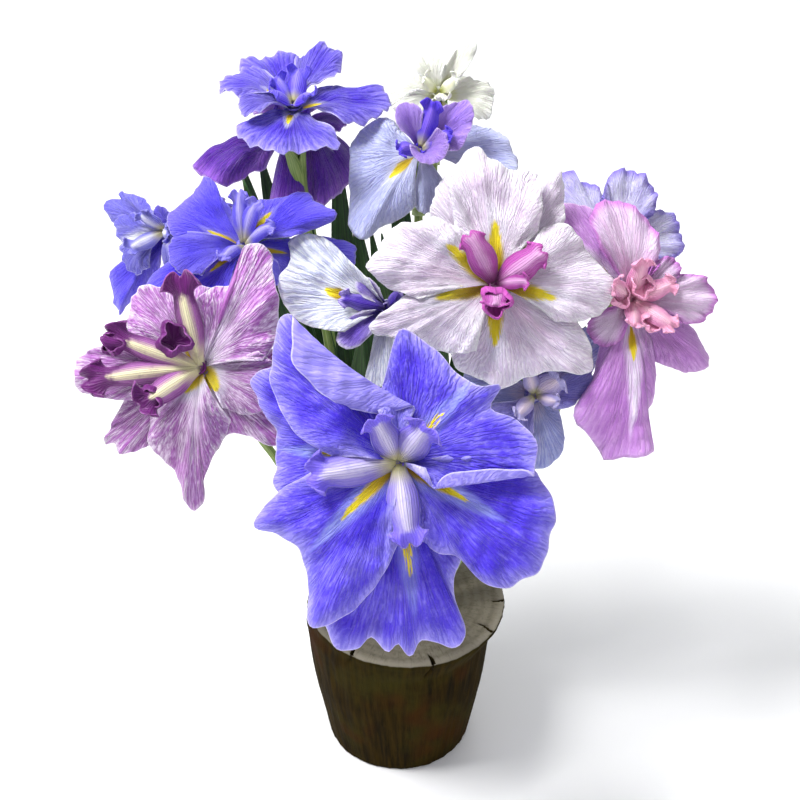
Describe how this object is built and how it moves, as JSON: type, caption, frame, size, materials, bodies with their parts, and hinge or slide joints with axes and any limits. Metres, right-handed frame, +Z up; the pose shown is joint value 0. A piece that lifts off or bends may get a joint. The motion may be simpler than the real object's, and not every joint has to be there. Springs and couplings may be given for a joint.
{
  "type": "iris bouquet in a log vase",
  "caption": "Bouquet of large flat Japanese iris blooms, blue, violet, pink and white, with sword leaves, standing in a tapered hollow log vase with a metal water cup.",
  "frame": {"origin": "below the centre of the log vase's hole, on the surface it stands on", "axes": "+Z up, -Y towards the bouquet's front, +X to the right seen from the front"},
  "size_m": [0.3667, 0.2824, 0.4388],
  "materials": {
    "log_wood": "dark weathered bark-free log, sawn grey end grain on top",
    "cup_steel": "dull galvanised",
    "stem_green": "smooth satin green stem",
    "leaf_green": "satin green leaf with parallel veins",
    "front_blue_petal": "thin satin violet-blue petal with fine veins",
    "front_blue_style": "thin satin style arm",
    "pink_white_petal": "thin satin white and magenta petal with fine veins",
    "pink_white_style": "thin satin style arm",
    "mottled_petal": "thin satin mottled orchid pink petal with fine veins",
    "mottled_style": "thin satin style arm",
    "left_blue_petal": "thin satin deep blue petal with fine veins",
    "left_blue_style": "thin satin style arm",
    "right_pink_petal": "thin satin mauve pink petal with fine veins",
    "right_pink_style": "thin satin style arm",
    "slate_petal": "thin satin slate lavender petal with fine veins",
    "slate_style": "thin satin style arm",
    "white_veined_petal": "thin satin white with blue veins petal with fine veins",
    "white_veined_style": "thin satin style arm",
    "pale_lavender_petal": "thin satin pale lavender petal with fine veins",
    "pale_lavender_style": "thin satin style arm",
    "top_violet_petal": "thin satin violet petal with fine veins",
    "top_violet_style": "thin satin style arm",
    "deep_purple_petal": "thin satin deep purple petal with fine veins",
    "deep_purple_style": "thin satin style arm",
    "ivory_petal": "thin satin ivory petal with fine veins",
    "ivory_style": "thin satin style arm",
    "ruffled_petal": "thin satin pale lavender petal with fine veins",
    "ruffled_style": "thin satin style arm",
    "far_left_petal": "thin satin grey lilac petal with fine veins",
    "far_left_style": "thin satin style arm"
  },
  "bodies": {
    "root": {"log_vase": "log_wood", "water_cup": "cup_steel", "front_blue_stem": "stem_green", "pink_white_stem": "stem_green", "mottled_stem": "stem_green", "left_blue_stem": "stem_green", "right_pink_stem": "stem_green", "slate_stem": "stem_green", "white_veined_stem": "stem_green", "pale_lavender_stem": "stem_green", "top_violet_stem": "stem_green", "deep_purple_stem": "stem_green", "ivory_stem": "stem_green", "ruffled_stem": "stem_green", "far_left_stem": "stem_green", "front_blue_falls": "front_blue_petal", "front_blue_standards": "front_blue_petal", "front_blue_styles": "front_blue_style", "pink_white_falls": "pink_white_petal", "pink_white_standards": "pink_white_petal", "pink_white_styles": "pink_white_style", "mottled_falls": "mottled_petal", "mottled_standards": "mottled_petal", "mottled_styles": "mottled_style", "left_blue_falls": "left_blue_petal", "left_blue_standards": "left_blue_petal", "left_blue_styles": "left_blue_style", "right_pink_falls": "right_pink_petal", "right_pink_standards": "right_pink_petal", "right_pink_styles": "right_pink_style", "slate_falls": "slate_petal", "slate_standards": "slate_petal", "slate_styles": "slate_style", "white_veined_falls": "white_veined_petal", "white_veined_standards": "white_veined_petal", "white_veined_styles": "white_veined_style", "pale_lavender_falls": "pale_lavender_petal", "pale_lavender_standards": "pale_lavender_petal", "pale_lavender_styles": "pale_lavender_style", "top_violet_falls": "top_violet_petal", "top_violet_standards": "top_violet_petal", "top_violet_styles": "top_violet_style", "deep_purple_falls": "deep_purple_petal", "deep_purple_standards": "deep_purple_petal", "deep_purple_styles": "deep_purple_style", "ivory_falls": "ivory_petal", "ivory_standards": "ivory_petal", "ivory_styles": "ivory_style", "ruffled_falls": "ruffled_petal", "ruffled_standards": "ruffled_petal", "ruffled_styles": "ruffled_style", "far_left_falls": "far_left_petal", "far_left_standards": "far_left_petal", "far_left_styles": "far_left_style", "leaf_fan_left": "leaf_green", "leaf_fan_back_left": "leaf_green", "leaf_fan_middle": "leaf_green", "leaf_fan_back": "leaf_green", "leaf_fan_back_right": "leaf_green", "leaf_fan_right": "leaf_green"}
  },
  "joints": []
}
